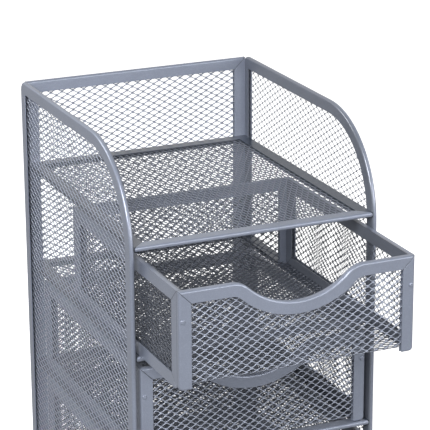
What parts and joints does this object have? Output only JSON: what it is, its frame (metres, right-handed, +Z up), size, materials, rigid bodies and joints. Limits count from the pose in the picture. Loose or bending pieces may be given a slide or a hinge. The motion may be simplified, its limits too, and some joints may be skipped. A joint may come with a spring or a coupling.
{
  "type": "desktop mini drawers",
  "caption": "Desktop mesh organizer with an open tray on top and sliding mini drawers that have scooped fronts.",
  "frame": {"origin": "On the desk, under the middle of the whole object's box as it stands with its top drawer part open", "axes": "+Z up, drawer fronts face -Y and pull out along -Y, +X to the right of someone facing the drawers"},
  "size_m": [0.125, 0.1914, 0.2061],
  "materials": {
    "steel_strip": "satin metallic paint",
    "steel_mesh": "satin metallic paint",
    "rubber_pad": "matte"
  },
  "bodies": {
    "cabinet": {"back_mesh": "steel_mesh", "back_strip_bottom": "steel_strip", "back_strip_left": "steel_strip", "back_strip_right": "steel_strip", "back_strip_top": "steel_strip", "base_frame": "steel_strip", "base_front_strip": "steel_strip", "base_mesh": "steel_mesh", "foot_pads": "rubber_pad", "lower_divider_frame": "steel_strip", "lower_divider_front_strip": "steel_strip", "lower_divider_mesh": "steel_mesh", "side_mesh_left": "steel_mesh", "side_mesh_right": "steel_mesh", "side_strip_left": "steel_strip", "side_strip_right": "steel_strip", "tray_frame": "steel_strip", "tray_front_strip": "steel_strip", "tray_mesh": "steel_mesh", "upper_divider_frame": "steel_strip", "upper_divider_front_strip": "steel_strip", "upper_divider_mesh": "steel_mesh"},
    "bottom_drawer": {"bottom_drawer_back_mesh": "steel_mesh", "bottom_drawer_back_strip": "steel_strip", "bottom_drawer_floor_mesh": "steel_mesh", "bottom_drawer_front_mesh": "steel_mesh", "bottom_drawer_front_strip": "steel_strip", "bottom_drawer_left_mesh": "steel_mesh", "bottom_drawer_left_strip": "steel_strip", "bottom_drawer_right_mesh": "steel_mesh", "bottom_drawer_right_strip": "steel_strip", "bottom_drawer_weld_bumps": "steel_strip"},
    "middle_drawer": {"middle_drawer_back_mesh": "steel_mesh", "middle_drawer_back_strip": "steel_strip", "middle_drawer_floor_mesh": "steel_mesh", "middle_drawer_front_mesh": "steel_mesh", "middle_drawer_front_strip": "steel_strip", "middle_drawer_left_mesh": "steel_mesh", "middle_drawer_left_strip": "steel_strip", "middle_drawer_right_mesh": "steel_mesh", "middle_drawer_right_strip": "steel_strip", "middle_drawer_weld_bumps": "steel_strip"},
    "top_drawer": {"top_drawer_back_mesh": "steel_mesh", "top_drawer_back_strip": "steel_strip", "top_drawer_floor_mesh": "steel_mesh", "top_drawer_front_mesh": "steel_mesh", "top_drawer_front_strip": "steel_strip", "top_drawer_left_mesh": "steel_mesh", "top_drawer_left_strip": "steel_strip", "top_drawer_right_mesh": "steel_mesh", "top_drawer_right_strip": "steel_strip", "top_drawer_weld_bumps": "steel_strip"}
  },
  "joints": [
    {"name": "bottom_drawer_slide", "type": "slide", "parent": "cabinet", "child": "bottom_drawer", "axis": [0, -1, 0], "range_m": [0, 0.09]},
    {"name": "middle_drawer_slide", "type": "slide", "parent": "cabinet", "child": "middle_drawer", "axis": [0, -1, 0], "range_m": [0, 0.09]},
    {"name": "top_drawer_slide", "type": "slide", "parent": "cabinet", "child": "top_drawer", "axis": [0, -1, 0], "range_m": [-0.046, 0.044]}
  ]
}
